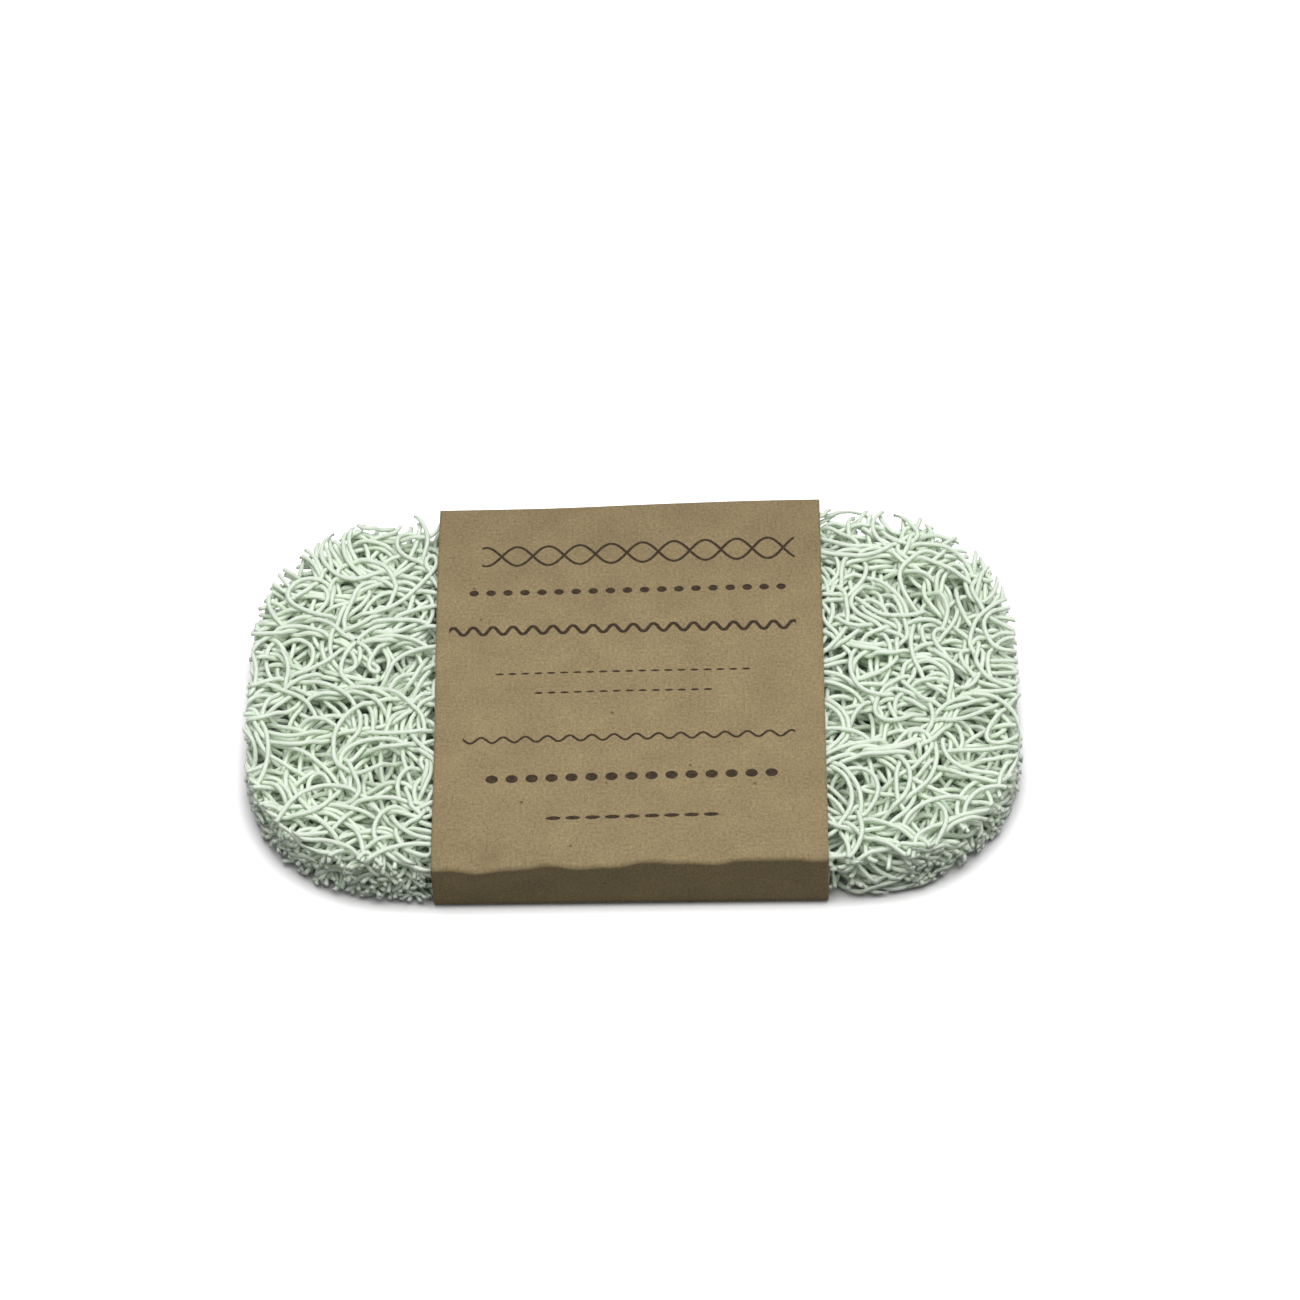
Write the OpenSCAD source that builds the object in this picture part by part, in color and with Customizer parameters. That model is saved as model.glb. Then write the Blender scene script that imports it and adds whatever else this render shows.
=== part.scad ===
// Soap saver: a pad of looped extruded filaments, die-cut to a rounded rectangle, in a kraft paper band.
// Millimetres. X runs along the pad and Y across it. Z is up from the surface that the band rests on.

/* [Pad] */
// Length of the die-cut pad
pad_length = 120; // [90:1:150]
// Width of the die-cut pad
pad_width = 72; // [52:1:90]
// Thickness of the pad
pad_thickness = 9.5; // [8:0.5:14]
// Radius of the pad's four corners
corner_radius = 25; // [10:1:26]

/* [Filaments] */
// Diameter of one extruded filament
filament_d = 0.8; // [0.8:0.1:1.4]
// Gap left between filaments that pass each other
filament_gap = 0.1; // [0.05:0.05:0.3]
// How far the head of a loop leads its foot
loop_lean = 11; // [9:0.5:14]
// Largest share by which a loop is shorter than its layer allows
loop_variation = 0.2; // [0:0.05:0.25]
// Largest share by which a step between loops is longer than it has to be
step_variation = 0.15; // [0:0.05:0.3]
// Direction in which the lower layer was laid, from the pad's length
lower_heading = -17; // [-30:1:30]
// Direction in which the upper layer was laid, from the pad's length
upper_heading = 14; // [-30:1:30]
// Shortest piece of filament that stays in the pad after die cutting
shortest_piece = 16; // [6:1:20]
// Number that picks one tangle out of many
tangle_seed = 30; // [1:1:99]

/* [Paper band] */
// Width of the band, along the pad
band_width = 60; // [40:1:76]
// Thickness of the kraft paper
paper_thickness = 0.3; // [0.2:0.05:0.45]
// Outer radius of the band's folds
fold_radius = 2; // [1:0.25:3]
// Clearance between the band and the pad's two faces
face_clearance = 0.25; // [0.2:0.05:0.5]
// Clearance between the band and the pad's long edges
edge_clearance = 0.7; // [0.3:0.1:1]
// Length over which the band's two ends lap under the pad
lap_length = 20; // [14:1:30]
// Thickness of the glue in the lap
glue_thickness = 0.05; // [0.05:0.01:0.1]
// Bare margin of the lap round its glue
glue_margin = 4; // [2:0.5:5]

/* [Hidden] */
$fn = 72;
filament_colour = [0.80, 0.86, 0.77];
kraft_colour = [0.60, 0.53, 0.40];
glue_colour = [0.86, 0.80, 0.62];
filament_r = filament_d / 2;
passing = filament_d + filament_gap;

// Heights of the band's flaps and of the pad above the surface
inner_flap_z = paper_thickness + glue_thickness;
pad_z = inner_flap_z + paper_thickness + face_clearance;
band_top_z = pad_z + pad_thickness + face_clearance + paper_thickness;
band_half = pad_width / 2 + edge_clearance + paper_thickness;

// Two layers of filaments, one on the other, are worked out in a frame that runs along their heading.
// A loop rises over a layer's height on one side of its lane and falls back on the other, and its rising
// half lies in a leaning plane. Lanes side by side use every second plane each, so that their loops reach
// past each other without meeting.
headings = [lower_heading, upper_heading];
layer_rise = (pad_thickness - filament_d - passing) / 2;
rise = [loop_lean, 0, layer_rise];
plane_step = passing * norm(rise) / layer_rise;
rising_reach = norm(rise) / 2 + passing - filament_r;
falling_reach = norm(rise - [2 * plane_step, 0, 0]) / 2 + passing - filament_r;
lane_pair = rising_reach + falling_reach;
cut_step = 15;
cut_halvings = 10;
least_turn = 6;
// A rising half is thinner by the step all round and reaches into the falling halves by the lap
joint_step = 0.01;
joint_lap = 0.1;

function layer_z(layer) = pad_z + filament_r + layer * (layer_rise + passing);
function reach(angle) = abs(cos(angle)) * (pad_length / 2 - corner_radius)
    + abs(sin(angle)) * (pad_width / 2 - corner_radius) + corner_radius;
function turned(p, angle) =
    [p[0] * cos(angle) - p[1] * sin(angle), p[0] * sin(angle) + p[1] * cos(angle), p[2]];

// Where the leaning planes of a layer cross its mid-height, along its heading
function planes(layer) =
    let (end = reach(headings[layer]) + loop_lean + plane_step, count = ceil(2 * end / plane_step),
        extra = rands(0, step_variation, count, tangle_seed + layer))
    [for (k = 0, x = -end; k < count; x = x + plane_step * (1 + extra[k]), k = k + 1) x];
layer_planes = [planes(0), planes(1)];

// The die's outline: distance to it, below zero inside, its outward direction, and the room that a
// filament's skin has left inside it at a point p where the filament runs in the direction t
function past_corner(p) =
    [abs(p[0]) - pad_length / 2 + corner_radius, abs(p[1]) - pad_width / 2 + corner_radius];
function die_distance(p) = let (q = past_corner(p))
    norm([max(q[0], 0), max(q[1], 0)]) + min(max(q[0], q[1]), 0) - corner_radius;
function die_outward(p) = let (q = past_corner(p), side = [sign(p[0]), sign(p[1])])
    q[0] > 0 && q[1] > 0 ? [side[0] * q[0], side[1] * q[1], 0] / norm(q)
    : q[0] > q[1] ? [side[0], 0, 0] : [0, side[1], 0];
function room(p, t) = let (c = t * die_outward(p)) -die_distance(p) - filament_r * sqrt(max(0, 1 - c * c));

// A half turn is [centre, direction to its start, direction it sets off in, radius]
function half_turn(p, q, sideways) = [(p + q) / 2, (p - q) / norm(p - q), sideways, norm(p - q) / 2];
function turn_point(h, t) = h[0] + h[3] * (cos(t) * h[1] + sin(t) * h[2]);
function turn_run(h, t) = cos(t) * h[2] - sin(t) * h[1];
function is_inside(h, t, angle) = room(turned(turn_point(h, t), angle), turned(turn_run(h, t), angle)) >= 0;
function cut_at(h, t_in, t_out, angle, n) = n == 0 ? t_in : let (t = (t_in + t_out) / 2)
    is_inside(h, t, angle) ? cut_at(h, t, t_out, angle, n - 1) : cut_at(h, t_in, t, angle, n - 1);
function last_inside(flags, i) = i + 1 < len(flags) && flags[i + 1] ? last_inside(flags, i + 1) : i;

// The stretches of a half turn that the die leaves, as [turn, start angle, end angle]
function kept(h, angle) =
    let (flags = [for (t = [0 : cut_step : 180]) is_inside(h, t, angle)], end = len(flags) - 1)
    [for (i = [0 : end]) if (flags[i] && (i == 0 || !flags[i - 1]))
        let (j = last_inside(flags, i),
            t0 = i == 0 ? 0 : cut_at(h, i * cut_step, (i - 1) * cut_step, angle, cut_halvings),
            t1 = j == end ? 180 : cut_at(h, j * cut_step, (j + 1) * cut_step, angle, cut_halvings))
        if (t1 - t0 > least_turn) [h, t0, t1]];

// Foot and head of the loop in plane k. A positive share lifts the foot, a negative one lowers the head.
function foot(layer, k, share) =
    [layer_planes[layer][k] - loop_lean / 2, 0, layer_z(layer)] + max(share, 0) * rise;
function head(layer, k, share) = foot(layer, k, 0) + (1 + min(share, 0)) * rise;

// Foot and head of each loop of a filament. Even lanes rise on their left and odd lanes on their right.
function lane_y(lane) = floor(lane / 2) * lane_pair + (abs(lane) % 2) * rising_reach;
function loops(layer, lane) =
    let (odd = abs(lane) % 2, count = len(layer_planes[layer]), shift = [0, lane_y(lane), 0],
        shares = rands(-loop_variation, loop_variation, count, tangle_seed + 100 * layer + lane + 50))
    [for (k = [odd : 2 : count - 1]) [foot(layer, k, shares[k]) + shift, head(layer, k, shares[k]) + shift]];

// What the die leaves of a filament's half turns, in their order. Each stretch ends with true if it rises.
function cut_path(layer, lane) =
    let (l = loops(layer, lane), angle = headings[layer], sideways = [0, 1 - 2 * (abs(lane) % 2), 0])
    [for (i = [0 : len(l) - 2]) each concat(
        [for (s = kept(half_turn(l[i][0], l[i][1], sideways), angle)) concat(s, true)],
        [for (s = kept(half_turn(l[i][1], l[i + 1][0], -sideways), angle)) concat(s, false)])];
function stretch_length(s) = (s[2] - s[1]) * s[0][3] * PI / 180;
function joins_last(path, i) = i > 0 && i < len(path) && path[i][1] == 0 && path[i - 1][2] == 180;

// The stretches that belong to a piece long enough to stay in the pad
function filament_path(layer, lane) =
    let (path = cut_path(layer, lane), count = len(path),
        lengths = [for (s = path) stretch_length(s)])
    [for (i = [0 : 1 : count - 1]) if (piece_length(path, lengths, i) >= shortest_piece) path[i]];
function before(path, lengths, i) = joins_last(path, i) ? lengths[i - 1] + before(path, lengths, i - 1) : 0;
function after(path, lengths, i) = joins_last(path, i + 1) ? lengths[i + 1] + after(path, lengths, i + 1) : 0;
function piece_length(path, lengths, i) =
    lengths[i] >= shortest_piece ? lengths[i]
    : lengths[i] + before(path, lengths, i) + after(path, lengths, i);

// The lanes of each layer that still hold a filament after die cutting
lane_ends = [for (layer = [0, 1]) ceil(2 * (reach(headings[layer] + 90) + rising_reach) / lane_pair)];
lanes = [for (layer = [0, 1]) [for (lane = [-lane_ends[layer] : lane_ends[layer]])
    if (len(filament_path(layer, lane)) > 0) lane]];
function filament_name(layer, n) =
    str(layer == 0 ? "lower" : "upper", "_filament_", n < 9 ? "0" : "", n + 1);

// One stretch of a half turn, as a bent round bar
module bent_bar(h, t0, t1, r) {
    up = cross(h[1], h[2]);
    multmatrix([for (i = [0 : 2]) [h[1][i], h[2][i], up[i], h[0][i]]])
        rotate([0, 0, t0])
            rotate_extrude(angle = t1 - t0)
                translate([h[3], 0]) circle(r = r);
}

// One extruded filament, looping along its lane
module filament(layer, lane) {
    color(filament_colour) rotate([0, 0, headings[layer]]) {
        for (s = filament_path(layer, lane)) {
            lap = s[3] ? joint_lap / s[0][3] * 180 / PI : 0;
            start = s[1] == 0 ? -lap : s[1];
            end = s[2] == 180 ? 180 + lap : s[2];
            bent_bar(s[0], start, end, filament_r - (s[3] ? joint_step : 0));
        }
    }
}

// A quarter ring of paper about the point at, in the quadrant that the two signs name
module fold(at, sign_y, sign_z) {
    translate(at) intersection() {
        difference() {
            circle(r = fold_radius);
            circle(r = fold_radius - paper_thickness);
        }
        translate([sign_y > 0 ? 0 : -fold_radius, sign_z > 0 ? 0 : -fold_radius]) square(fold_radius);
    }
}

// A straight stretch of paper between two corners
module strip(from, to) {
    translate(from) square(to - from);
}

// One strip of paper round the pad, with four folds and its two ends lapped underneath
module paper_band() {
    flat = band_half - fold_radius;
    top_bend = band_top_z - fold_radius;
    color(kraft_colour) rotate([90, 0, 90]) linear_extrude(height = band_width, center = true) {
        strip([-flat, band_top_z - paper_thickness], [flat, band_top_z]);
        fold([-flat, top_bend], -1, 1);
        fold([flat, top_bend], 1, 1);
        strip([-band_half, fold_radius], [-band_half + paper_thickness, top_bend]);
        strip([band_half - paper_thickness, inner_flap_z + fold_radius], [band_half, top_bend]);
        fold([-flat, fold_radius], -1, -1);
        fold([flat, inner_flap_z + fold_radius], 1, -1);
        strip([-flat, 0], [lap_length / 2, paper_thickness]);
        strip([-lap_length / 2, inner_flap_z], [flat, inner_flap_z + paper_thickness]);
    }
}

// The glue between the lapped ends
module lap_glue() {
    size = [band_width - 2 * glue_margin, lap_length - 2 * glue_margin, glue_thickness];
    color(glue_colour) translate([0, 0, paper_thickness + glue_thickness / 2]) cube(size, center = true);
}

for (layer = [0, 1]) for (n = [0 : len(lanes[layer]) - 1])
    filament(layer, lanes[layer][n]);
paper_band();
lap_glue();
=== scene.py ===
"""Dresses a soap saver: a pad of looped extruded filaments in a folded kraft paper band.

Every place is in metres in the frame's own coordinates: X along the pad, Y across it, Z up from the floor.
"""

import math

import bpy
import numpy as np
from bpy.props import FloatProperty, FloatVectorProperty, IntProperty, PointerProperty
from bpy.types import Operator, Panel, PropertyGroup
from mathutils import Matrix, Vector


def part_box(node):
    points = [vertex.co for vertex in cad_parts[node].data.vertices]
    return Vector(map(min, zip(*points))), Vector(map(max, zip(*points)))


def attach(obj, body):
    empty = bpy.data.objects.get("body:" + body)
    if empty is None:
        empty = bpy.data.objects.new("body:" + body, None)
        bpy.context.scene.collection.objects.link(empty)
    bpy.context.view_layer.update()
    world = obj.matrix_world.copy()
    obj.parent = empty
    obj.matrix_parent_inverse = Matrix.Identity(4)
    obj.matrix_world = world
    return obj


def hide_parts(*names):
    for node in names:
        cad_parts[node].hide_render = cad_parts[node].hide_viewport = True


bl_info = {
    "name": "Soap Saver",
    "version": (1, 0, 0),
    "blender": (4, 5, 0),
    "location": "3D View > Sidebar > Soap Saver",
    "description": "Makes the looped filament pad and the folded paper band of a soap saver",
    "category": "Object",
}

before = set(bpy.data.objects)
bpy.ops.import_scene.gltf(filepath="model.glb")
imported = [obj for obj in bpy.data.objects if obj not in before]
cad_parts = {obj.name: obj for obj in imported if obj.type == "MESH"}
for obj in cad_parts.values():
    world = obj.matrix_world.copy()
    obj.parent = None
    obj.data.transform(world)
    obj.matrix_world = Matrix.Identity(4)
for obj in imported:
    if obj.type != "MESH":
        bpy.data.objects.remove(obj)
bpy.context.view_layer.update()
LAYERS = {
    layer: sorted(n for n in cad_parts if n.startswith(layer + "_filament"))
    for layer in ("lower", "upper")
}
BAND_LOW, BAND_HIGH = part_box("paper_band")
# Strands laid for each lower and for each upper filament of the frame.
STRANDS = (4, 3)
# Middle height of the lower and of the upper layer, as a share of the way up the pad.
LAYER_MIDDLE = (0.3, 0.66)
# Lanes laid past the outermost filament on either side, so that the die cuts into a full tangle.
SPARE_LANES = 2
# Way between two points of a path, as a share of the filament's diameter.
POINT_GAP = 0.6


# Settings


class PadSettings(PropertyGroup):
    """Sizes and colour of the filament pad."""

    length: FloatProperty(name="Length", description="Length of the die-cut pad",
                          default=0.120, unit="LENGTH")
    width: FloatProperty(name="Width", description="Width of the die-cut pad",
                         default=0.072, unit="LENGTH")
    thickness: FloatProperty(name="Thickness", description="Thickness of the pad",
                             default=0.0095, unit="LENGTH")
    corner: FloatProperty(name="Corner radius", description="Radius of the pad's corners",
                          default=0.025, unit="LENGTH")
    underside: FloatProperty(name="Underside", description="Height of the pad's underside",
                             default=0.0009, unit="LENGTH")
    strand: FloatProperty(name="Filament", description="Diameter of one filament",
                          default=0.00076, unit="LENGTH")
    lane: FloatProperty(name="Lane", description="Distance between two filaments' lanes",
                        default=0.00513, unit="LENGTH")
    lower_heading: FloatProperty(name="Lower heading", description="Direction of the lower lanes",
                                 default=math.radians(-17), unit="ROTATION")
    upper_heading: FloatProperty(name="Upper heading", description="Direction of the upper lanes",
                                 default=math.radians(14), unit="ROTATION")
    loop: FloatProperty(name="Loop radius", description="Mean radius of a loop",
                        default=0.0070, unit="LENGTH")
    advance: FloatProperty(name="Advance", description="Mean way along the lane per loop",
                           default=0.0105, unit="LENGTH")
    fray: FloatProperty(name="Fray", description="How far cut ends spring out of the edge",
                        default=0.0006, unit="LENGTH")
    seed: IntProperty(name="Tangle", description="Picks one tangle out of many", default=7)
    colour: FloatVectorProperty(name="Colour", description="Colour of the plastic",
                                default=(0.835, 0.948, 0.778), subtype="COLOR", min=0, max=1)


class BandSettings(PropertyGroup):
    """Sizes and colours of the paper band."""

    paper: FloatProperty(name="Paper", description="Thickness of the kraft paper",
                         default=0.0003, unit="LENGTH")
    fold: FloatProperty(name="Fold radius", description="Outer radius of the folds under the pad",
                        default=0.002, unit="LENGTH")
    crease: FloatProperty(name="Crease radius", description="Outer radius of the folds on top",
                          default=0.0008, unit="LENGTH")
    droop: FloatProperty(name="Droop", description="How far the front crease is pressed down",
                         default=0.0008, unit="LENGTH")
    inner_flap: FloatProperty(name="Inner flap", description="Height of the inner flap",
                              default=0.00035, unit="LENGTH")
    lap: FloatProperty(name="Lap", description="Length over which the two ends lap",
                       default=0.020, unit="LENGTH")
    wave: FloatProperty(name="Waviness", description="How far the sheet strays from flat",
                        default=0.00028, unit="LENGTH")
    colour: FloatVectorProperty(name="Paper colour", description="Colour of the kraft paper",
                                default=(0.315, 0.243, 0.128), subtype="COLOR", min=0, max=1)
    ink: FloatVectorProperty(name="Ink colour", description="Colour of the printed ornament",
                             default=(0.024, 0.014, 0.008), subtype="COLOR", min=0, max=1)


class StageSettings(PropertyGroup):
    """Camera, light and floor."""

    distance: FloatProperty(name="Distance", description="Camera to the middle of the footprint",
                            default=0.6778, unit="LENGTH")
    elevation: FloatProperty(name="Elevation", description="Camera above the horizon",
                             default=math.radians(49.1), unit="ROTATION")
    azimuth: FloatProperty(name="Azimuth", description="Camera round the vertical, from the front",
                           default=math.radians(2.519), unit="ROTATION")
    roll: FloatProperty(name="Roll", description="Turn of the camera about its own axis",
                        default=math.radians(-2.619), unit="ROTATION")
    lens: FloatProperty(name="Lens", description="Focal length over a 36 mm sensor", default=118.9)
    key: FloatProperty(name="Key", description="Power of the large lamp overhead",
                       default=10.5, subtype="POWER")
    fill: FloatProperty(name="Fill", description="Strength of the even light all round",
                        default=0.2)


# Meshes


def make_piece(name, body, verts, faces, uv=None):
    """Puts whole arrays of vertices (metres) and faces into a new, smooth-shaded mesh object that rides on a
    body."""
    mesh = bpy.data.meshes.new(name)
    mesh.from_pydata(verts, [], faces)
    if uv is not None:
        layer = mesh.uv_layers.new(name="flat")
        at = np.zeros(len(mesh.loops), np.int32)
        mesh.loops.foreach_get("vertex_index", at)
        layer.data.foreach_set("uv", uv[at].astype(np.float32).ravel())
    mesh.polygons.foreach_set("use_smooth", np.ones(len(mesh.polygons), bool))
    mesh.validate()
    mesh.update()
    piece = bpy.data.objects.new(name, mesh)
    bpy.context.scene.collection.objects.link(piece)
    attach(piece, body)
    return piece


def unit(v):
    """Each vector divided by its own length."""
    return v / np.maximum(np.linalg.norm(v, axis=-1, keepdims=True), 1e-12)


def drift(rng, at, spacing):
    """A smooth random curve from -1 to 1: random values a spacing apart, joined by cubic arcs."""
    place = (at - at.min()) / spacing + 1
    value = rng.uniform(-1, 1, int(place.max()) + 4)
    i = place.astype(int)
    f = place - i
    a, b, c, d = value[i - 1], value[i], value[i + 1], value[i + 2]
    bend = 2 * a - 5 * b + 4 * c - d + f * (3 * (b - c) + d - a)
    return b + 0.5 * f * (c - a + f * bend)


# The filaments


def reach(pad, angle):
    """How far the die's outline reaches from its centre in a direction."""
    return (abs(math.cos(angle)) * (pad.length / 2 - pad.corner)
            + abs(math.sin(angle)) * (pad.width / 2 - pad.corner) + pad.corner)


def past_die(pad, p):
    """Distance of points from the die's outline, below zero inside, and its outward direction."""
    half = np.array([pad.length, pad.width]) / 2 - pad.corner
    q = np.abs(p[:, :2]) - half
    corner = np.maximum(q, 0)
    distance = np.linalg.norm(corner, axis=1) + np.minimum(q.max(1), 0) - pad.corner
    side = np.where((q > 0).all(1)[:, None], corner, q == q.max(1, keepdims=True))
    return distance, unit(side * np.sign(p[:, :2]))


def laid_paths(pad, seed, layer, lane, step):
    """The strands that are laid side by side in one lane: coils whose centres go along the lane together.

    Place = lane's start + advance x turn + radius x (cos turn, sin turn), where the advance, the radius, the
    roundness and the centre's drift are smooth random curves over the turn. The strands of a lane share
    these curves, and each strays from them by curves of its own. The height drifts between the pad's two
    faces. Each path is then divided into equal steps.
    """
    heading = (pad.lower_heading, pad.upper_heading)[layer]
    strands = STRANDS[layer]
    per_turn, spare = 60, 1.6
    end = reach(pad, heading) + pad.loop
    count = int(2 * end / pad.advance * per_turn * spare)
    turn = np.linspace(0, count / per_turn * 2 * math.pi, count)
    rng = np.random.default_rng(seed)
    pace = np.exp(1.3 * drift(rng, turn, 6.5))
    radius = pad.loop * np.exp(0.45 * drift(rng, turn, 3.3))
    hand = 1 if rng.random() < 0.5 else -1
    along = np.cumsum(pace) / pace.mean() * (2 * end * spare / count)
    centre_x = -end + along + 0.4 * pad.loop * drift(rng, turn, 4.0)
    centre_y = lane + 0.5 * pad.loop * drift(rng, turn, 4.4)
    wide, tall = (1 + 0.25 * drift(rng, turn, spacing) for spacing in (3.1, 2.7))
    c, s = math.cos(heading), math.sin(heading)
    climb = pad.thickness - pad.strand
    paths = []
    for n in range(strands):
        aside = (n - (strands - 1) / 2) * 1.6 * pad.strand
        own = radius + aside + 0.22 * pad.loop * drift(rng, turn, 5.0)
        x = centre_x + own * wide * np.cos(turn) + 0.25 * pad.loop * drift(rng, turn, 6.0)
        y = centre_y + hand * own * tall * np.sin(turn) + 0.25 * pad.loop * drift(rng, turn, 6.0)
        path = np.stack([x, y], 1)
        far = np.concatenate([[0], np.cumsum(np.linalg.norm(np.diff(path, axis=0), axis=1))])
        even = np.arange(0, far[-1], step)
        path = np.stack([np.interp(even, far, path[:, 0]), np.interp(even, far, path[:, 1])], 1)
        stop = np.argmax(path[:, 0] > end + pad.loop) or len(path)
        path, even = path[:stop], even[:stop]
        high = LAYER_MIDDLE[layer] + 0.62 * drift(rng, even, 0.013) + 0.08 * drift(rng, even, 0.004)
        z = pad.underside + pad.strand / 2 + np.clip(high, 0, 1) * climb
        x, y = path.T
        paths.append(np.stack([c * x - s * y, s * x + c * y, z], 1))
    return paths


def close_pairs(p, near):
    """Every pair of points closer than near: points are sorted into cubes of that size, and each cube is
    matched with itself and with half of the cubes round it."""
    cell = np.floor(p / near).astype(np.int64)
    cell -= cell.min(0) - 1
    size = cell.max(0) + 2
    key = (cell[:, 0] * size[1] + cell[:, 1]) * size[2] + cell[:, 2]
    order = np.argsort(key, kind="stable")
    ranked = key[order]
    first, second = [], []
    around = [(a, b, c) for a in (-1, 0, 1) for b in (-1, 0, 1) for c in (-1, 0, 1)]
    for a, b, c in around[len(around) // 2:]:
        other = ranked + (a * size[1] + b) * size[2] + c
        low = np.searchsorted(ranked, other, "left")
        high = np.searchsorted(ranked, other, "right")
        if (a, b, c) == (0, 0, 0):
            low = np.arange(len(ranked)) + 1
        many = np.maximum(high - low, 0)
        i = np.repeat(np.arange(len(ranked)), many)
        j = np.repeat(low - np.concatenate([[0], np.cumsum(many)[:-1]]), many) + np.arange(many.sum())
        i, j = order[i], order[j]
        close = ((p[i] - p[j]) ** 2).sum(1) < near * near
        first.append(i[close])
        second.append(j[close])
    return np.concatenate(first), np.concatenate(second)


def settle(pad, p, run_of, rounds):
    """Lets the filaments find room: in each round, points that are closer than a diameter are pushed apart,
    more upwards and downwards than sideways, and where two meet at one height, one of them goes over. A push
    is shared along the filament, as a stiff wire shares it (over and over, half of it stays and a quarter
    goes to either neighbour), and the points are kept between the pad's two faces."""
    level = 0.4 * pad.strand
    eager = 1.3
    lean = (0.4, 0.4, 1)
    neighbours, shares, farthest = 6, 20, 0.0003
    index = np.arange(len(p))
    joined = np.concatenate([[False], run_of[1:] == run_of[:-1]])
    before = np.where(joined, index - 1, index)
    after = np.where(np.concatenate([joined[1:], [False]]), index + 1, index)
    low, high = pad.underside + pad.strand / 2, pad.underside + pad.thickness - pad.strand / 2
    for _ in range(rounds):
        i, j = close_pairs(p, pad.strand)
        apart = (run_of[i] != run_of[j]) | (np.abs(i - j) > neighbours)
        i, j = i[apart], j[apart]
        way = p[j] - p[i]
        overlap = pad.strand - np.linalg.norm(way, axis=1)
        over = np.sign(run_of[j] - run_of[i]) * (1 - 2 * ((run_of[i] + run_of[j]) // 1000 % 2))
        way[:, 2] += level * over * (np.abs(way[:, 2]) < level)
        push = unit(way) * (eager * overlap)[:, None] * lean
        move = np.stack([np.bincount(j, push[:, k], len(p)) - np.bincount(i, push[:, k], len(p))
                         for k in range(3)], 1)
        for _ in range(shares):
            move = 0.5 * move + 0.25 * (move[before] + move[after])
        size = np.linalg.norm(move, axis=1, keepdims=True)
        p = p + move * np.minimum(1, farthest / np.maximum(size, 1e-9))
        p[:, 2] = np.clip(p[:, 2], low, high)
    return p


def tangle(pad, band):
    """Paths of all filaments as one list of points after settling, the frame's filament that each belongs
    to, and the stretch that it is in. Spare lanes go to the outermost filaments."""
    step = POINT_GAP * pad.strand
    paths, owners, first = [], [], 0
    for layer, names in enumerate(LAYERS.values()):
        for n in range(-SPARE_LANES, len(names) + SPARE_LANES):
            lane = (n - (len(names) - 1) / 2) * pad.lane
            laid = laid_paths(pad, pad.seed * 1000 + layer * 100 + n + SPARE_LANES, layer, lane, step)
            paths += laid
            owners += [first + min(max(n, 0), len(names) - 1)] * len(laid)
        first += len(names)
    lengths = [len(q) for q in paths]
    laid = np.repeat(np.arange(len(paths)), lengths)
    strand_of = np.repeat(owners, lengths)
    p = np.concatenate(paths)
    near = past_die(pad, p)[0] < pad.strand * 4
    p, strand_of, laid = p[near], strand_of[near], laid[near]
    gap = np.concatenate([[False], np.linalg.norm(np.diff(p, axis=0), axis=1) > 3 * step])
    run_of = laid * 1000 + np.cumsum(gap)
    p = settle(pad, p, run_of, 50)
    p[:, 2] -= pressed_down(band, p[:, 0], p[:, 1], p[:, 2])
    return p, strand_of, run_of


def cut_runs(pad, p, run_of):
    """The stretches that the die leaves, how far past the outline each point may stand, and the points. A
    filament goes on past the outline until its whole skin is outside. Clear of the band, some ends that cross
    the outline steeply spring out by up to the fray, and some near the top spring up by as much over their
    last 4 mm. Stretches under 5 mm fall off."""
    shortest, sprung, near_band, near_face = 0.005, 0.004, 0.0008, 0.003
    step = POINT_GAP * pad.strand
    distance, out = past_die(pad, p)
    way = unit(np.gradient(p, axis=0))
    steep = np.abs((way[:, :2] * out).sum(1))
    rng = np.random.default_rng(pad.seed + 1)
    patch = np.cumsum(rng.random(len(p)) < 0.05)
    clear = np.abs(p[:, 0]) > BAND_HIGH.x + near_band
    lip = pad.fray * rng.random(patch[-1] + 1)[patch] ** 2 * clear * (steep > 0.7)
    kept = distance < pad.strand / 2 * np.sqrt(np.clip(1 - steep ** 2, 0, 1)) + 0.00005 + lip
    change = np.concatenate([[True], (run_of[1:] != run_of[:-1]) | (kept[1:] != kept[:-1])])
    starts = np.flatnonzero(change)
    ends = np.concatenate([starts[1:], [len(p)]])
    runs = [slice(a, b) for a, b in zip(starts, ends) if kept[a] and b - a > shortest / step]
    p = p.copy()
    top = pad.underside + pad.thickness
    for run in runs:
        far = np.arange(run.stop - run.start) * POINT_GAP * pad.strand
        for back in (far, far[::-1]):
            near_top = clear[run] * np.clip((p[run, 2] - top) / near_face + 1, 0, 1)
            lift = 0.9 * pad.fray * rng.random() ** 1.5
            p[run, 2] += lift * np.clip(1 - back / sprung, 0, 1) ** 2 * near_top
    return runs, lip, p


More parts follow.
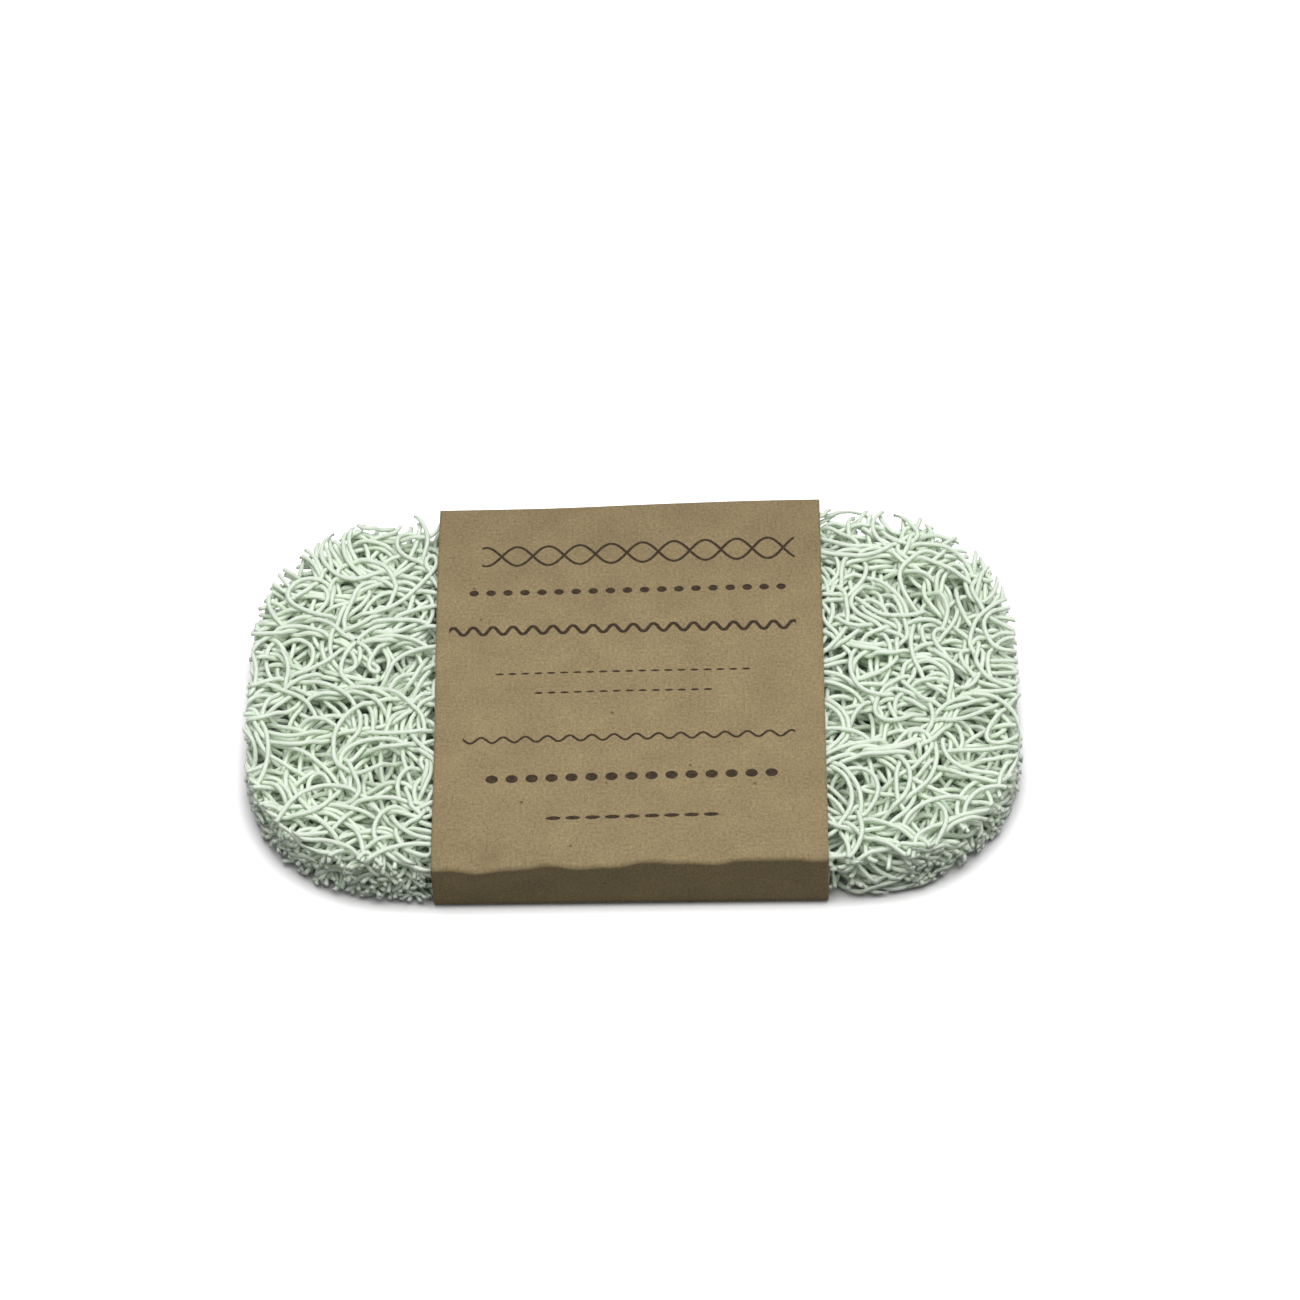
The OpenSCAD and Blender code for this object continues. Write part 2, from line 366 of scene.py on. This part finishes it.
def tube(pad, path, sides, first, lip):
    """A round skin on a path: place + radius x (cos a x sideways + sin a x upwards). What is further outside
    the die's outline than the lip is set back on to it, so that a cut end lies in the pad's edge. The faces
    count their vertices from first."""
    way = unit(np.gradient(path, axis=0))
    sideways = unit(np.cross([0, 0, 1], way))
    up = np.cross(way, sideways)
    a = np.linspace(0, 2 * math.pi, sides, endpoint=False)
    ring = np.cos(a)[None, :, None] * sideways[:, None] + np.sin(a)[None, :, None] * up[:, None]
    verts = (path[:, None] + pad.strand / 2 * ring).reshape(-1, 3)
    distance, out = past_die(pad, verts)
    verts[:, :2] -= np.maximum(distance - lip, 0)[:, None] * out
    k = np.arange(len(path) - 1)[:, None] * sides
    i = np.arange(sides)[None, :]
    j = (i + 1) % sides
    quads = np.stack([k + i, k + j, k + sides + j, k + sides + i], -1).reshape(-1, 4) + first
    last = first + (len(path) - 1) * sides
    caps = [list(range(first + sides - 1, first - 1, -1)), list(range(last, last + sides))]
    return verts, quads.tolist() + caps


class SOAPSAVER_OT_filaments(Operator):
    """Lays, settles and cuts the filaments of both layers"""

    bl_idname = "soapsaver.filaments"
    bl_label = "Make the Filaments"

    def execute(self, context):
        pad = context.scene.soapsaver_pad
        p, strand_of, run_of = tangle(pad, context.scene.soapsaver_band)
        runs, lip, p = cut_runs(pad, p, run_of)
        names = [n for layer in LAYERS.values() for n in layer]
        plastic = filament_material(pad)
        for number, node in enumerate(names):
            verts, faces, first = [], [], 0
            for run in runs:
                if strand_of[run.start] != number:
                    continue
                v, f = tube(pad, p[run], 6, first, np.repeat(lip[run], 6))
                verts.append(v)
                faces += f
                first += len(v)
            if not verts:
                raise RuntimeError(f"the die leaves nothing of {node}")
            piece = make_piece("laid_" + node, "pad", np.concatenate(verts), faces)
            piece.data.materials.append(plastic)
            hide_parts(node)
        return {"FINISHED"}


# The paper band


def eased(value, low, high):
    """0 up to low, 1 from high, and between them 3 t squared - 2 t cubed."""
    t = np.clip((value - low) / (high - low), 0, 1)
    return t * t * (3 - 2 * t)


def pressed_down(band, x, y, z):
    """How far the band presses a place down at the pad's front edge: most at the crease and at the top, more
    towards the left and in waves along it, and nothing clear of the band."""
    long_wave, short_wave, past_band = 0.017, 0.0073, 0.004
    share = (BAND_HIGH.x - x) / (BAND_HIGH.x - BAND_LOW.x)
    wave = np.cos(2 * math.pi * (x - 0.012) / long_wave) + 0.45 * np.cos(2 * math.pi * x / short_wave + 1.0)
    depth = np.maximum(2.3 * share - 0.35 + 0.62 * wave, 0.0) * band.droop
    under = eased(-np.abs(x), BAND_LOW.x - past_band, BAND_LOW.x)
    up = np.clip((z - band.fold) / (BAND_HIGH.z - band.fold), 0, 1)
    return depth * under * eased(-y, 0.0305, 0.0368) * up


def band_profile(band, step):
    """The middle of the sheet from the outer flap's end to the inner flap's: points (y, z) across the band,
    with four quarter circles at the folds, and the way along the sheet to each point."""
    half = BAND_HIGH.y - band.paper / 2
    top = BAND_HIGH.z - band.paper / 2
    low = band.paper / 2
    inner = band.inner_flap + band.paper / 2
    wide, tight = band.fold - band.paper / 2, band.crease - band.paper / 2
    corners = [(-half + wide, low + wide, -90, wide), (-half + tight, top - tight, 180, tight),
               (half - tight, top - tight, 90, tight), (half - wide, inner + wide, 0, wide)]
    points = [np.array([(band.lap / 2, low), (-half + wide, low)])]
    for y, z, start, r in corners:
        a = np.radians(start - np.linspace(0, 90, 13))
        points.append(np.stack([y + r * np.cos(a), z + r * np.sin(a)], 1))
    points.append(np.array([[-band.lap / 2, inner]]))
    q = np.concatenate(points)
    q = q[np.concatenate([[True], np.linalg.norm(np.diff(q, axis=0), axis=1) > 1e-7])]
    far = np.concatenate([[0], np.cumsum(np.linalg.norm(np.diff(q, axis=0), axis=1))])
    even = np.linspace(0, far[-1], int(far[-1] / step))
    at = np.unique(np.concatenate([even, far]).round(7))
    return np.stack([np.interp(at, far, q[:, 0]), np.interp(at, far, q[:, 1])], 1), at


def band_sheet(band):
    """The sheet as a grid: x along the pad by way along the profile. Its height strays from the profile by
    slow waves, the front fold wanders up and down, and the back of the band stands off towards one side,
    as a strip folded a little askew does. Both skins are half the paper's thickness off the middle, and the
    four edges are closed. Returns vertices, faces, flat coordinates, how many of the last faces are the
    edges', and the way along the sheet to the middle of its top."""
    skew, slack, bow, dent, lift = 0.0013, 0.0013, 0.00042, 0.00005, 0.00012
    profile, at = band_profile(band, 0.0006)
    x = np.linspace(BAND_LOW.x, BAND_HIGH.x, 121)
    way = unit(np.gradient(profile, at, axis=0))
    out = np.stack([-way[:, 1], way[:, 0]], 1)
    rng = np.random.default_rng(3)
    u, v = np.meshgrid(x, at, indexing="ij")
    y, z = np.broadcast_to(profile[:, 0], u.shape), np.broadcast_to(profile[:, 1], u.shape)
    stray = np.zeros_like(u)
    for _ in range(16):
        length, angle, phase = rng.uniform(0.011, 0.045), rng.uniform(0, math.pi), rng.uniform(0, 6.3)
        stray += length * np.cos(2 * math.pi / length * (u * math.cos(angle) + v * math.sin(angle)) + phase)
    stray *= band.wave / np.abs(stray).max()
    top = eased(z, 0.55 * BAND_HIGH.z, 0.95 * BAND_HIGH.z)
    wall = (eased(z, 0.1 * BAND_HIGH.z, 0.5 * BAND_HIGH.z)
            * eased(-z, -0.9 * BAND_HIGH.z, -0.6 * BAND_HIGH.z))
    side = eased(u, BAND_LOW.x, BAND_HIGH.x)
    front = eased(-y, 0.028, 0.036)
    back = eased(y, 0.020, 0.036)
    offset = 0.45 * stray * top + 0.7 * stray * wall * front
    middle = np.stack([
        u - skew * (1 - side) * eased(y, -0.036, 0.036) * eased(z, 0.1 * BAND_HIGH.z, 0.9 * BAND_HIGH.z),
        y + slack * side * back * eased(z, 0.15 * BAND_HIGH.z, 0.7 * BAND_HIGH.z)
        + (bow * side - dent) * front * eased(z, 0.3 * BAND_HIGH.z, BAND_HIGH.z),
        z - pressed_down(band, u, y, z) + lift * side * top,
    ], -1)
    skins = []
    for sign in (1, -1):
        far = offset + sign * band.paper / 2
        skins.append(middle + np.stack([np.zeros_like(u), far * out[None, :, 0], far * out[None, :, 1]], -1))
    n, m = u.shape
    verts = np.concatenate([skins[0].reshape(-1, 3), skins[1].reshape(-1, 3)])
    uv = np.tile(np.stack([u, v], -1).reshape(-1, 2), (2, 1))
    i, j = np.meshgrid(np.arange(n - 1), np.arange(m - 1), indexing="ij")
    a = (i * m + j).ravel()
    outer = np.stack([a, a + m, a + m + 1, a + 1], 1)
    inner = outer[:, ::-1] + n * m
    rim = np.concatenate([np.arange(m), np.arange(1, n) * m + m - 1,
                          (n - 1) * m + np.arange(m - 2, -1, -1), np.arange(n - 2, 0, -1) * m])
    ahead = np.roll(rim, -1)
    edge = np.stack([rim, ahead, ahead + n * m, rim + n * m], 1)
    on_top = z[0] > BAND_HIGH.z / 2
    centre = at[np.argmin(np.abs(y[0]) + ~on_top)]
    return verts, np.concatenate([outer, inner, edge]), uv, len(edge), centre


class SOAPSAVER_OT_band(Operator):
    """Folds the paper band and finishes the glue in its lap"""

    bl_idname = "soapsaver.band"
    bl_label = "Make the Paper Band"

    def execute(self, context):
        band = context.scene.soapsaver_band
        verts, faces, uv, edges, centre = band_sheet(band)
        piece = make_piece("folded_band", "band", verts, faces.tolist(), uv)
        sharp = np.zeros(len(piece.data.polygons), bool)
        sharp[-edges:] = True
        piece.data.polygons.foreach_set("use_smooth", ~sharp)
        piece.data.materials.append(kraft_material(band, centre))
        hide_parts("paper_band")
        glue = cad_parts["lap_glue"]
        glue.data.materials.clear()
        glue.data.materials.append(glue_material())
        return {"FINISHED"}


# Materials


def add(tree, kind, settings=None, **sockets):
    """A node with its settings, and each socket by name (spaces as _) given a value or a link."""
    node = tree.nodes.new(kind)
    for name, value in (settings or {}).items():
        setattr(node, name, value)
    for name, value in sockets.items():
        key = int(name[1:]) if name[0] == "i" and name[1:].isdigit() else name.replace("_", " ")
        if isinstance(value, bpy.types.NodeSocket):
            tree.links.new(value, node.inputs[key])
        else:
            node.inputs[key].default_value = value
    return node


def new_material(name):
    """A material with an empty node tree, and the tree."""
    material = bpy.data.materials.new(name)
    material.use_nodes = True
    tree = material.node_tree
    tree.nodes.clear()
    return material, tree


def maths(tree, operation, *values):
    """A Math node's result."""
    return add(tree, "ShaderNodeMath", {"operation": operation},
               **{f"i{n}": v for n, v in enumerate(values)}).outputs[0]


def noise(tree, at, scale, detail=2.0, rough=0.5):
    """Noise of so many grains a metre."""
    grains = add(tree, "ShaderNodeTexNoise", Vector=at, Scale=scale, Detail=detail, Roughness=rough)
    return grains.outputs["Fac"]


def spread(tree, value, low, high, to_low, to_high):
    """Turns low to high into to_low to to_high, and holds at the ends."""
    return add(tree, "ShaderNodeMapRange", Value=value, From_Min=low, From_Max=high, To_Min=to_low,
               To_Max=to_high).outputs[0]


def tinted(tree, colour, factor):
    """The colour times a factor."""
    scaled = add(tree, "ShaderNodeVectorMath", {"operation": "SCALE"}, i0=tuple(colour), Scale=factor)
    return scaled.outputs[0]


def filament_material(pad):
    """Satin plastic: its tone varies slowly from strand to strand, and fine drawn lines break its gloss."""
    material, tree = new_material("extruded plastic")
    at = add(tree, "ShaderNodeTexCoord").outputs["Object"]
    slow = spread(tree, noise(tree, at, 90), 0.3, 0.7, 0.95, 1.03)
    fine = spread(tree, noise(tree, at, 1500), 0.3, 0.7, 0.98, 1.02)
    colour = tinted(tree, pad.colour, maths(tree, "MULTIPLY", slow, fine))
    rough = spread(tree, noise(tree, at, 400), 0.3, 0.7, 0.38, 0.52)
    bump = add(tree, "ShaderNodeBump", Height=noise(tree, at, 2500), Strength=0.25, Distance=0.00002)
    shader = add(tree, "ShaderNodeBsdfPrincipled", Base_Color=colour, Roughness=rough, Normal=bump.outputs[0])
    shader.inputs["Specular IOR Level"].default_value = 0.4
    shader.inputs["Subsurface Weight"].default_value = 0.3
    shader.inputs["Subsurface Radius"].default_value = (1.0, 1.15, 0.9)
    shader.inputs["Subsurface Scale"].default_value = 0.0012
    add(tree, "ShaderNodeOutputMaterial", Surface=shader.outputs[0])
    return material


def within(tree, value, half):
    """1 where a value is less than half away from zero, with an edge 0.08 mm soft."""
    away = maths(tree, "ABSOLUTE", value)
    return spread(tree, away, half - 0.00004, half + 0.00004, 1.0, 0.0)


def wave_row(tree, u, v, length, height, thick, phase=0.0):
    """A line at height x sin(2 pi u / length + phase), as thick everywhere across itself."""
    k = 2 * math.pi / length
    turn = maths(tree, "MULTIPLY_ADD", u, k, phase)
    off = maths(tree, "MULTIPLY_ADD", maths(tree, "SINE", turn), -height, v)
    slope = maths(tree, "MULTIPLY", maths(tree, "COSINE", turn), height * k)
    lean = maths(tree, "SQRT", maths(tree, "MULTIPLY_ADD", slope, slope, 1.0))
    return within(tree, maths(tree, "DIVIDE", off, lean), thick / 2)


def dot_row(tree, u, v, pitch, wide, tall):
    """Ovals wide by tall, a pitch apart."""
    near = maths(tree, "DIVIDE", maths(tree, "PINGPONG", u, pitch / 2), wide / 2)
    across = maths(tree, "DIVIDE", v, tall / 2)
    squares = maths(tree, "MULTIPLY_ADD", near, near, maths(tree, "MULTIPLY", across, across))
    return spread(tree, maths(tree, "SQRT", squares), 0.93, 1.07, 1.0, 0.0)


def ornament(tree, u, v):
    """Rows of plain waves, dots and dashes across the band: kind, place, start, end and sizes, all in mm. A
    wave's sizes are its length, height and thickness, and then its phase. Those of dots are their pitch,
    width and height."""
    rows = (
        ("wave", 26.3, -22.6, 26.2, (9.76, 2.0, 0.46, 0.0)),
        ("wave", 26.3, -22.6, 26.2, (9.76, 2.0, 0.46, math.pi)),
        ("dots", 18.4, -25.175, 25.175, (2.65, 1.5, 1.25)),
        ("wave", 10.3, -27.8, 26.0, (3.1, 0.75, 0.62, 0.0)),
        ("dots", 1.2, -21.0, 19.0, (2.0, 1.3, 0.42)),
        ("dots", -2.9, -15.0, 13.0, (2.0, 1.3, 0.42)),
        ("wave", -12.3, -25.8, 25.2, (3.4, 0.55, 0.42, 0.0)),
        ("dots", -20.2, -22.875, 22.875, (3.05, 1.9, 1.6)),
        ("dots", -28.2, -13.5, 13.5, (3.0, 2.3, 0.75)),
    )
    ink = 0.0
    for kind, place, start, end, sizes in rows:
        sizes = [size / 1000 for size in sizes[:3]] + list(sizes[3:])
        draw = wave_row if kind == "wave" else dot_row
        row = draw(tree, u, maths(tree, "SUBTRACT", v, place / 1000), *sizes)
        inside = within(tree, maths(tree, "SUBTRACT", u, (start + end) / 2000), (end - start) / 2000)
        ink = maths(tree, "MAXIMUM", maths(tree, "MULTIPLY", row, inside), ink)
    return ink


def kraft_material(band, centre):
    """Kraft paper: cloudy tone, short fibres that run every way, and a few dark specks, on the sheet's own
    flat coordinates, with painted shade that makes the top a little darker towards the back. Rows of generic
    ornament are printed on it about the top's centre."""
    material, tree = new_material("kraft paper")
    at = add(tree, "ShaderNodeUVMap", {"uv_map": "flat"}).outputs[0]
    cloud = spread(tree, noise(tree, at, 160, 3.0), 0.3, 0.7, 0.91, 1.08)
    grain = spread(tree, noise(tree, at, 2200, 4.0, 0.65), 0.3, 0.7, 0.72, 1.25)
    tone = maths(tree, "MULTIPLY", cloud, grain)
    fibre = None
    for turn, stretch in ((0.4, 7.0), (1.9, 6.0), (2.7, 8.0)):
        turned = add(tree, "ShaderNodeMapping", Vector=at, Rotation=(0, 0, turn), Scale=(stretch, 1.0, 1.0))
        lines = spread(tree, noise(tree, turned.outputs[0], 700, 1.0), 0.62, 0.75, 0.0, 1.0)
        fibre = lines if fibre is None else maths(tree, "MAXIMUM", fibre, lines)
    tone = maths(tree, "MULTIPLY", tone, spread(tree, fibre, 0, 1, 1.0, 0.8))
    along = add(tree, "ShaderNodeSeparateXYZ", Vector=at).outputs[1]
    # Painted shade: the paper is darker by up to 14 % towards the back of the top.
    tone = maths(tree, "MULTIPLY", tone, spread(tree, along, centre + 0.010, centre + 0.036, 1.0, 0.86))
    specks = add(tree, "ShaderNodeTexVoronoi", Vector=at, Scale=330.0)
    dark = spread(tree, specks.outputs["Distance"], 0.05, 0.12, 0.45, 1.0)
    rare = maths(tree, "GREATER_THAN", noise(tree, at, 260, 0.0), 0.62)
    tone = maths(tree, "MULTIPLY", tone, maths(tree, "MAXIMUM", dark, maths(tree, "SUBTRACT", 1.0, rare)))
    paper = tinted(tree, band.colour, tone)
    print_at = add(tree, "ShaderNodeMapping", Vector=at, Location=(0, -centre, 0))
    askew = add(tree, "ShaderNodeMapping", Vector=print_at.outputs[0], Rotation=(0, 0, -0.014))
    place = add(tree, "ShaderNodeSeparateXYZ", Vector=askew.outputs[0]).outputs
    ink = ornament(tree, place[0], place[1])
    ink = maths(tree, "MULTIPLY", ink, spread(tree, noise(tree, at, 1800, 3.0), 0.25, 0.6, 0.82, 0.98))
    mixed = add(tree, "ShaderNodeMix", {"data_type": "RGBA"})
    tree.links.new(ink, mixed.inputs["Factor"])
    tree.links.new(paper, mixed.inputs[6])
    mixed.inputs[7].default_value = tuple(band.ink) + (1,)
    relief = maths(tree, "ADD", noise(tree, at, 1200, 3.0), maths(tree, "MULTIPLY", fibre, 0.5))
    bump = add(tree, "ShaderNodeBump", Height=relief, Strength=0.35, Distance=0.00006)
    shader = add(tree, "ShaderNodeBsdfPrincipled", Base_Color=mixed.outputs[2], Normal=bump.outputs[0])
    shader.inputs["Roughness"].default_value = 0.82
    shader.inputs["Specular IOR Level"].default_value = 0.25
    add(tree, "ShaderNodeOutputMaterial", Surface=shader.outputs[0])
    return material


def glue_material():
    """Dried glue: a thin amber film with small bubbles."""
    material, tree = new_material("dried glue")
    at = add(tree, "ShaderNodeTexCoord").outputs["Object"]
    tone = spread(tree, noise(tree, at, 500, 3.0), 0.3, 0.7, 0.8, 1.1)
    colour = tinted(tree, (0.62, 0.50, 0.28), tone)
    bubbles = add(tree, "ShaderNodeTexVoronoi", Vector=at, Scale=900.0).outputs["Distance"]
    bump = add(tree, "ShaderNodeBump", Height=bubbles, Strength=0.3, Distance=0.00002)
    shader = add(tree, "ShaderNodeBsdfPrincipled", Base_Color=colour, Normal=bump.outputs[0])
    shader.inputs["Roughness"].default_value = 0.3
    add(tree, "ShaderNodeOutputMaterial", Surface=shader.outputs[0])
    return material


# The stage


def seen_directly(tree):
    """1 where a place is seen, also in a reflection or through something, and 0 where it only lights."""
    ray = add(tree, "ShaderNodeLightPath").outputs
    return maths(tree, "MAXIMUM", ray["Is Camera Ray"],
                 maths(tree, "MAXIMUM", ray["Is Glossy Ray"], ray["Is Transmission Ray"]))


def floor_material(pad):
    """Pale floor: where it is seen it is white, and it throws back only a little of the light. Its glow fades
    towards the pad's footprint, which paints shade in a band round the footprint and also keeps the depth of
    the real shadow there."""
    bounce, glow_strength, painted_shade_reach = 0.07, 0.7, 0.005
    material, tree = new_material("pale floor")
    seen = seen_directly(tree)
    at = add(tree, "ShaderNodeTexCoord").outputs["Object"]
    size = add(tree, "ShaderNodeVectorMath", {"operation": "ABSOLUTE"}, i0=at).outputs[0]
    inner = (pad.length / 2 - pad.corner, pad.width / 2 - pad.corner, 0)
    past = add(tree, "ShaderNodeVectorMath", {"operation": "SUBTRACT"}, i0=size, i1=inner).outputs[0]
    past = add(tree, "ShaderNodeVectorMath", {"operation": "MAXIMUM"}, i0=past, i1=(0, 0, 0)).outputs[0]
    away = add(tree, "ShaderNodeVectorMath", {"operation": "LENGTH"}, i0=past).outputs["Value"]
    dull = add(tree, "ShaderNodeBsdfDiffuse", Color=(bounce, bounce, bounce, 1))
    white = add(tree, "ShaderNodeBsdfDiffuse", Color=(1, 1, 1, 1))
    # Painted shade: the glow is nothing at the footprint's outline and full 5 mm out, so the seen floor
    # darkens round the pad.
    glow = add(tree, "ShaderNodeEmission", Color=(1, 1, 1, 1),
               Strength=spread(tree, away, pad.corner, pad.corner + painted_shade_reach, 0.0, glow_strength))
    bright = add(tree, "ShaderNodeAddShader", i0=white.outputs[0], i1=glow.outputs[0])
    both = add(tree, "ShaderNodeMixShader", Fac=seen, i1=dull.outputs[0], i2=bright.outputs[0])
    add(tree, "ShaderNodeOutputMaterial", Surface=both.outputs[0])
    return material


def add_lamp(name, place, size, power):
    """A round, soft lamp that shines on the middle of the footprint."""
    lamp = bpy.data.lights.new(name, "AREA")
    lamp.shape = "DISK"
    lamp.size = size
    lamp.energy = power
    holder = bpy.data.objects.new(name, lamp)
    holder.location = place
    holder.rotation_euler = (-Vector(place)).to_track_quat("-Z", "Y").to_euler()
    bpy.context.scene.collection.objects.link(holder)


class SOAPSAVER_OT_stage(Operator):
    """Sets the floor, the lamps and the camera"""

    bl_idname = "soapsaver.stage"
    bl_label = "Set the Stage"

    def execute(self, context):
        scene = context.scene
        stage = scene.soapsaver_stage
        scene.view_settings.view_transform = "Standard"
        half = 3.0
        corners = [(-half, -half, 0), (half, -half, 0), (half, half, 0), (-half, half, 0)]
        mesh = bpy.data.meshes.new("floor")
        mesh.from_pydata(corners, [], [(0, 1, 2, 3)])
        floor = bpy.data.objects.new("floor", mesh)
        scene.collection.objects.link(floor)
        mesh.materials.append(floor_material(scene.soapsaver_pad))
        world = bpy.data.worlds.new("studio")
        scene.world = world
        world.use_nodes = True
        tree = world.node_tree
        tree.nodes.clear()
        seen = seen_directly(tree)
        # The even light is weak at the horizon and strongest overhead.
        way = add(tree, "ShaderNodeTexCoord").outputs["Generated"]
        high = add(tree, "ShaderNodeSeparateXYZ", Vector=way).outputs[2]
        dim = add(tree, "ShaderNodeBackground", Color=(1, 1, 1, 1),
                  Strength=spread(tree, high, 0.0, 1.0, 0.3 * stage.fill, 1.35 * stage.fill))
        white = add(tree, "ShaderNodeBackground", Color=(1, 1, 1, 1), Strength=1.0)
        both = add(tree, "ShaderNodeMixShader", Fac=seen, i1=dim.outputs[0], i2=white.outputs[0])
        add(tree, "ShaderNodeOutputWorld", Surface=both.outputs[0])
        add_lamp("key", (0.1, -0.06, 1.0), 1.1, stage.key)

        e, a = stage.elevation, stage.azimuth
        back = Vector((math.sin(a) * math.cos(e), -math.cos(a) * math.cos(e), math.sin(e)))
        right = Vector((math.cos(a), math.sin(a), 0))
        up = back.cross(right)
        c, s = math.cos(stage.roll), math.sin(stage.roll)
        rolled_right, rolled_up = c * right + s * up, c * up - s * right
        lens = bpy.data.cameras.new("camera")
        lens.lens = stage.lens
        lens.sensor_width = 36
        lens.sensor_fit = "HORIZONTAL"
        lens.shift_x = 0.0126
        lens.shift_y = 0.0566
        lens.clip_start = 0.01
        camera = bpy.data.objects.new("camera", lens)
        camera.matrix_world = Matrix.Translation(back * stage.distance) @ Matrix(
            (rolled_right, rolled_up, back)).transposed().to_4x4()
        scene.collection.objects.link(camera)
        scene.camera = camera
        return {"FINISHED"}


# Panel and registration


class SOAPSAVER_PT_panel(Panel):
    """Lists what the soap saver is made of"""

    bl_label = "Soap Saver"
    bl_idname = "SOAPSAVER_PT_panel"
    bl_space_type = "VIEW_3D"
    bl_region_type = "UI"
    bl_category = "Soap Saver"

    def draw(self, context):
        scene = context.scene
        for title, settings, operator in (
            ("Pad", scene.soapsaver_pad, SOAPSAVER_OT_filaments),
            ("Paper band", scene.soapsaver_band, SOAPSAVER_OT_band),
            ("Stage", scene.soapsaver_stage, SOAPSAVER_OT_stage),
        ):
            box = self.layout.box()
            box.label(text=title)
            for name in settings.bl_rna.properties.keys():
                if name not in ("rna_type", "name"):
                    box.prop(settings, name)
            box.operator(operator.bl_idname)


CLASSES = (
    PadSettings,
    BandSettings,
    StageSettings,
    SOAPSAVER_OT_filaments,
    SOAPSAVER_OT_band,
    SOAPSAVER_OT_stage,
    SOAPSAVER_PT_panel,
)


def register():
    """Registers the classes and hangs the settings on the scene."""
    for cls in CLASSES:
        bpy.utils.register_class(cls)
    bpy.types.Scene.soapsaver_pad = PointerProperty(type=PadSettings)
    bpy.types.Scene.soapsaver_band = PointerProperty(type=BandSettings)
    bpy.types.Scene.soapsaver_stage = PointerProperty(type=StageSettings)


def unregister():
    """Takes back what register did."""
    del bpy.types.Scene.soapsaver_stage
    del bpy.types.Scene.soapsaver_band
    del bpy.types.Scene.soapsaver_pad
    for cls in reversed(CLASSES):
        bpy.utils.unregister_class(cls)


def main():
    """Makes every piece and the stage."""
    register()
    bpy.ops.soapsaver.filaments()
    bpy.ops.soapsaver.band()
    bpy.ops.soapsaver.stage()
    bpy.context.view_layer.update()


if __name__ == "__main__":
    main()
